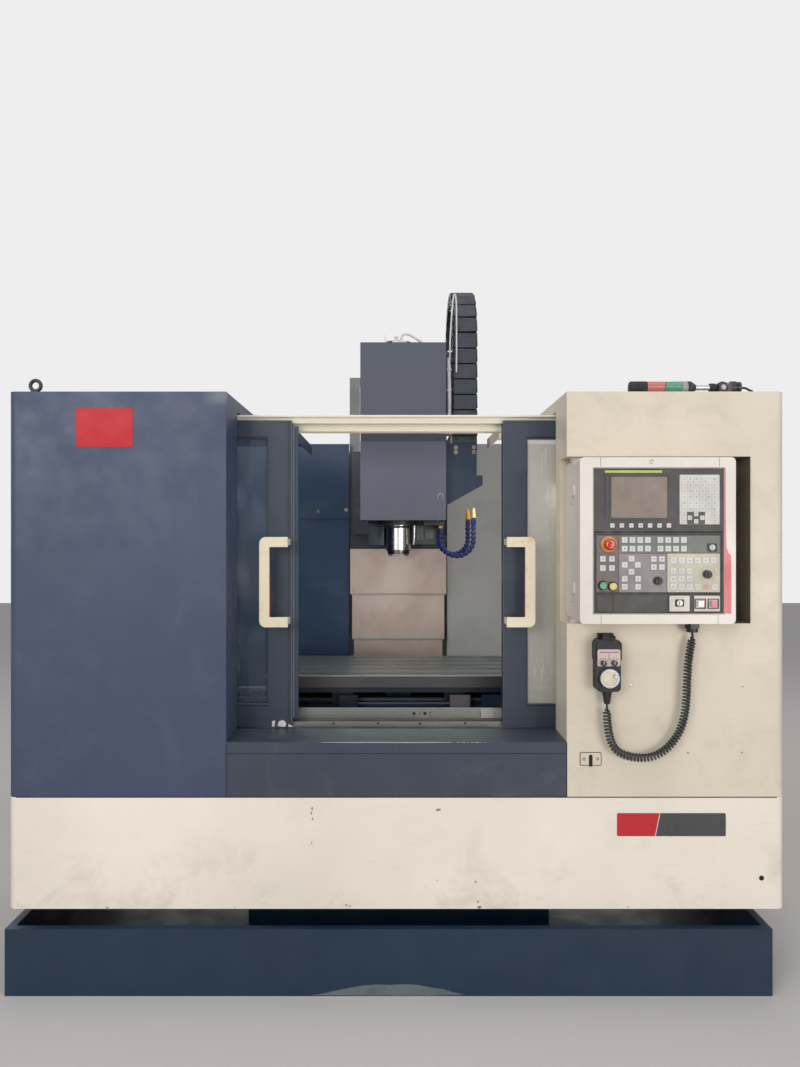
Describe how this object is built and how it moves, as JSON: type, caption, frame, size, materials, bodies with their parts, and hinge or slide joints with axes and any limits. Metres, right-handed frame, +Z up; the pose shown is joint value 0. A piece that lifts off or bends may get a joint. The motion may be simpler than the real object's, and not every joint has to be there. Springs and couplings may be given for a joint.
{
  "type": "vertical machining centre",
  "caption": "Vertical machining centre: cast base and column, cross table, spindle head, sheet enclosure with sliding doors and a swivelling operator pendant.",
  "frame": {"origin": "under the middle of the machine, on the floor", "axes": "+X to the right seen from the operator, +Y to the rear, +Z up"},
  "size_m": [2.5, 2.344, 2.463],
  "materials": {
    "cast_green": "painted casting, satin",
    "column_paint": "satin paint with coolant haze",
    "steel_dark": "machined, dull",
    "tank_navy": "satin paint, scuffed",
    "cream_paint": "fine texture paint",
    "slate_paint": "fine texture paint",
    "sill_paint": "satin paint",
    "wall_navy": "satin paint with coolant haze",
    "track_metal": "bare sheet, worn",
    "rail_steel": "ground",
    "motor_black": "semi-gloss",
    "cabinet_paint": "fine texture paint",
    "tower_plastic": "translucent lamp rings",
    "table_iron": "ground, oiled",
    "head_paint": "fine texture paint",
    "head_cast": "satin paint on casting",
    "nose_steel": "ground and polished",
    "hose_plastic": "moulded",
    "chain_plastic": "moulded",
    "stainless": "brushed, stained",
    "door_paint": "fine texture paint",
    "window_glass": "clear, wiped",
    "handle_paint": "gloss paint, worn edges",
    "pendant_paint": "gloss paint",
    "unit_black": "fine texture",
    "key_grey": "moulded keys",
    "stop_red": "moulded",
    "button_green": "moulded",
    "button_yellow": "moulded",
    "knob_black": "moulded",
    "lock_metal": "plated",
    "button_white": "moulded",
    "button_rose": "moulded",
    "handset_black": "moulded",
    "dial_silver": "turned",
    "cord_rubber": "matt jacket"
  },
  "bodies": {
    "machine": {"base_casting": "cast_green", "column_casting": "column_paint", "leveling_feet": "steel_dark", "coolant_tank": "tank_navy", "skirt": "cream_paint", "left_cover": "slate_paint", "right_cover": "cream_paint", "sill_panel": "sill_paint", "front_beam": "cream_paint", "back_walls": "wall_navy", "chip_pan": "wall_navy", "door_tracks": "track_metal", "linear_rails": "rail_steel", "axis_motors": "motor_black", "electrical_cabinet": "cabinet_paint", "roof_fittings": "motor_black", "tool_magazine": "cabinet_paint", "z_cover_lower": "stainless", "handwheel_body": "handset_black", "handwheel_cord": "cord_rubber"},
    "cabinet_door": {"cabinet_door": "cabinet_paint"},
    "signal_tower": {"signal_tower": "tower_plastic"},
    "magazine": {"magazine_disc": "knob_black"},
    "y_screw": {"y_ballscrew": "rail_steel"},
    "saddle": {"saddle": "cast_green", "x_motor": "motor_black"},
    "x_screw": {"x_ballscrew": "rail_steel"},
    "table": {"table": "table_iron"},
    "z_screw": {"z_ballscrew": "rail_steel"},
    "head": {"head_casting": "head_cast", "head_covers": "head_paint", "spindle_cartridge": "nose_steel", "spindle_motor": "motor_black", "coolant_hoses": "hose_plastic", "drag_chain": "chain_plastic", "z_cover_upper": "stainless"},
    "spindle": {"spindle_shaft": "steel_dark"},
    "z_cover": {"z_cover_middle": "stainless"},
    "door_left": {"door_left": "door_paint", "door_left_glass": "window_glass", "door_left_handle": "handle_paint"},
    "door_right": {"door_right": "door_paint", "door_right_glass": "window_glass", "door_right_handle": "handle_paint"},
    "pendant": {"pendant_box": "pendant_paint", "controller_unit": "unit_black", "panel_keys": "key_grey", "operator_panel": "unit_black"},
    "e_stop": {"e_stop": "stop_red"},
    "start_button": {"start_button": "button_green"},
    "hold_button": {"hold_button": "button_yellow"},
    "mode_knob": {"mode_knob": "knob_black"},
    "feed_knob": {"feed_knob": "knob_black"},
    "program_key": {"program_key": "lock_metal"},
    "power_key": {"power_key": "lock_metal"},
    "power_on": {"power_on_button": "button_white"},
    "power_off": {"power_off_button": "button_rose"},
    "handwheel_dial": {"handwheel_dial": "dial_silver"},
    "axis_knob": {"axis_knob": "knob_black"},
    "scale_knob": {"scale_knob": "knob_black"}
  },
  "joints": [
    {"name": "door_left_slide", "type": "slide", "parent": "machine", "child": "door_left", "axis": [1, 0, 0], "range_m": [0, 0.34]},
    {"name": "door_right_slide", "type": "slide", "parent": "machine", "child": "door_right", "axis": [-1, 0, 0], "range_m": [0, 0.368]},
    {"name": "y_axis", "type": "slide", "parent": "machine", "child": "saddle", "axis": [0, 1, 0], "range_m": [-0.18, 0.22]},
    {"name": "x_axis", "type": "slide", "parent": "saddle", "child": "table", "axis": [1, 0, 0], "range_m": [-0.4, 0.4]},
    {"name": "z_axis", "type": "slide", "parent": "machine", "child": "head", "axis": [0, 0, 1], "range_m": [-0.33, 0.2], "deforming": ["drag_chain"]},
    {"name": "y_screw_turn", "type": "hinge", "parent": "machine", "child": "y_screw", "pos_m": [0.008, -0.364, 0.59], "axis": [0, 1, 0], "range_deg": [-8000, 8000]},
    {"name": "x_screw_turn", "type": "hinge", "parent": "saddle", "child": "x_screw", "pos_m": [0.008, -0.364, 0.832], "axis": [1, 0, 0], "range_deg": [-14600, 14600]},
    {"name": "z_screw_turn", "type": "hinge", "parent": "machine", "child": "z_screw", "pos_m": [0.008, 0.198, 1.5], "axis": [0, 0, 1], "range_deg": [-12000, 12000]},
    {"name": "z_cover_slide", "type": "slide", "parent": "machine", "child": "z_cover", "axis": [0, 0, 1], "range_m": [-0.17, 0.105]},
    {"name": "spindle_turn", "type": "hinge", "parent": "head", "child": "spindle", "pos_m": [0.008, -0.364, 1.4], "axis": [0, 0, 1], "continuous": true},
    {"name": "magazine_turn", "type": "hinge", "parent": "machine", "child": "magazine", "pos_m": [-0.4, 0.484, 1.56], "axis": [1, 0, 0], "continuous": true},
    {"name": "cabinet_door_swing", "type": "hinge", "parent": "machine", "child": "cabinet_door", "pos_m": [-0.4465, 1.1483, 1.1], "axis": [0, 0, 1], "range_deg": [0, 110]},
    {"name": "tower_fold", "type": "hinge", "parent": "machine", "child": "signal_tower", "pos_m": [1.065, -0.99, 1.9433], "axis": [0, 1, 0], "range_deg": [0, 90]},
    {"name": "pendant_swing", "type": "hinge", "parent": "machine", "child": "pendant", "pos_m": [0.59, -0.99, 1.44], "axis": [0, 0, -1], "range_deg": [0, 75]},
    {"name": "stop_press", "type": "slide", "parent": "pendant", "child": "e_stop", "axis": [0, 1, 0], "range_m": [0, 0.005]},
    {"name": "start_press", "type": "slide", "parent": "pendant", "child": "start_button", "axis": [0, 1, 0], "range_m": [0, 0.004], "stiffness_N_per_m": 400},
    {"name": "hold_press", "type": "slide", "parent": "pendant", "child": "hold_button", "axis": [0, 1, 0], "range_m": [0, 0.004], "stiffness_N_per_m": 400},
    {"name": "power_on_press", "type": "slide", "parent": "pendant", "child": "power_on", "axis": [0, 1, 0], "range_m": [0, 0.004], "stiffness_N_per_m": 400},
    {"name": "power_off_press", "type": "slide", "parent": "pendant", "child": "power_off", "axis": [0, 1, 0], "range_m": [0, 0.004], "stiffness_N_per_m": 400},
    {"name": "mode_turn", "type": "hinge", "parent": "pendant", "child": "mode_knob", "pos_m": [0.8051, -1.146, 1.3188], "axis": [0, 1, 0], "range_deg": [-120, 120]},
    {"name": "feed_turn", "type": "hinge", "parent": "pendant", "child": "feed_knob", "pos_m": [0.9573, -1.146, 1.3391], "axis": [0, 1, 0], "range_deg": [-135, 135]},
    {"name": "program_key_turn", "type": "hinge", "parent": "pendant", "child": "program_key", "pos_m": [0.9727, -1.146, 1.4217], "axis": [0, 1, 0], "range_deg": [0, 90]},
    {"name": "power_key_turn", "type": "hinge", "parent": "pendant", "child": "power_key", "pos_m": [0.872, -1.146, 1.2507], "axis": [0, 1, 0], "range_deg": [0, 90]},
    {"name": "dial_turn", "type": "hinge", "parent": "machine", "child": "handwheel_dial", "pos_m": [0.669, -1.094, 1.01], "axis": [0, 1, 0], "continuous": true},
    {"name": "axis_knob_turn", "type": "hinge", "parent": "machine", "child": "axis_knob", "pos_m": [0.651, -1.094, 1.057], "axis": [0, 1, 0], "range_deg": [-75, 75]},
    {"name": "scale_knob_turn", "type": "hinge", "parent": "machine", "child": "scale_knob", "pos_m": [0.685, -1.094, 1.057], "axis": [0, 1, 0], "range_deg": [-60, 60]}
  ],
  "couplings": [
    {"joint": "y_screw_turn", "follows": "y_axis", "rad_per_m": 628.32},
    {"joint": "x_screw_turn", "follows": "x_axis", "rad_per_m": 628.32},
    {"joint": "z_screw_turn", "follows": "z_axis", "rad_per_m": 628.32},
    {"joint": "z_cover_slide", "follows": "z_axis", "ratio": 0.5}
  ]
}
